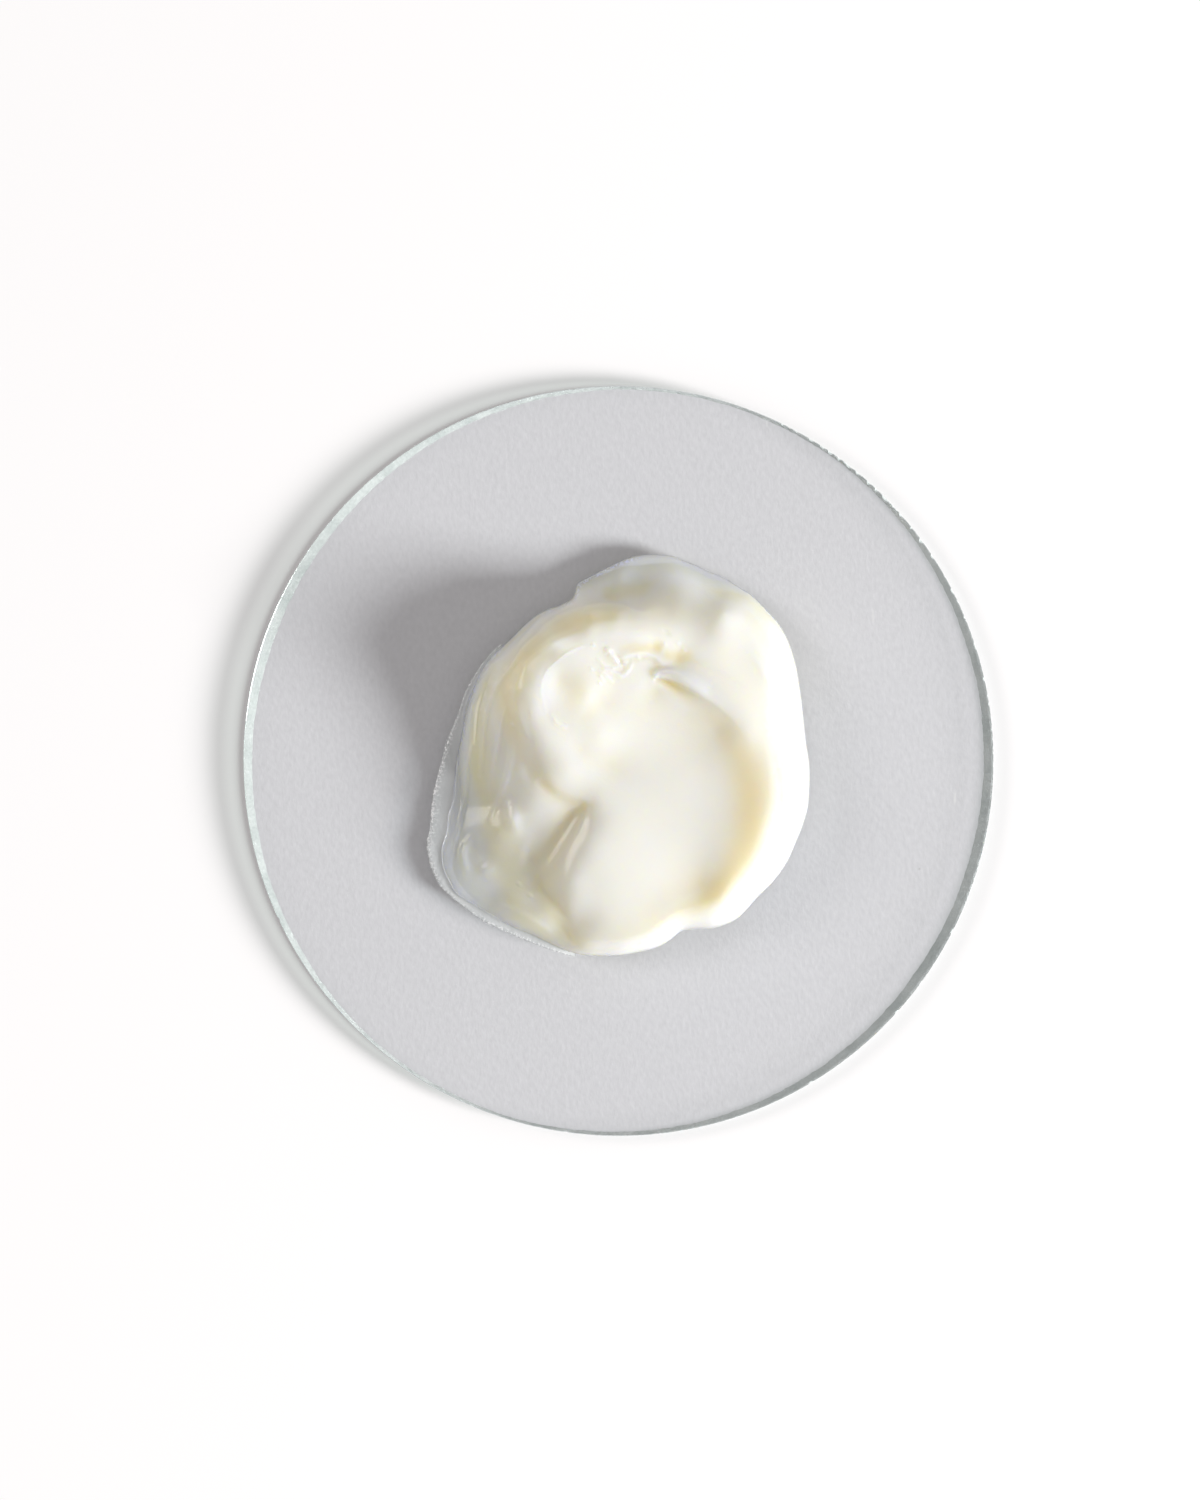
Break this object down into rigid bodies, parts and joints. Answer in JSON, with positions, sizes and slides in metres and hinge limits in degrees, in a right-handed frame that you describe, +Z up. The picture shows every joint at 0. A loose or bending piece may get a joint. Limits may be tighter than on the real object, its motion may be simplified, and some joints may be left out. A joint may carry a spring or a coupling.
{
  "type": "shaving cream dollop on glass plate",
  "caption": "Swirled dollop of ivory shaving cream on a clear round glass plate, lying loose on a round of fine-grained pale card.",
  "frame": {"origin": "centre of the card's underside, where the assembly stands", "axes": "+Z up, +X to the right and +Y away from a person looking down on the plate with the cream's thin lobe at the far side"},
  "size_m": [0.1, 0.1, 0.0115],
  "materials": {
    "grained_card": "matt, fine-grained",
    "clear_glass": "polished float glass, edge faintly green",
    "ivory_cream": "wet, softly glossy, translucent",
    "clear_film": "wet and half clear"
  },
  "bodies": {
    "sheet": {"backing_sheet": "grained_card"},
    "plate": {"glass_plate": "clear_glass", "cream_dollop": "ivory_cream", "wet_film": "clear_film"}
  },
  "joints": [
    {"name": "plate_lift", "type": "slide", "parent": "sheet", "child": "plate", "axis": [0, 0, 1], "range_m": [0, 0.03]}
  ]
}
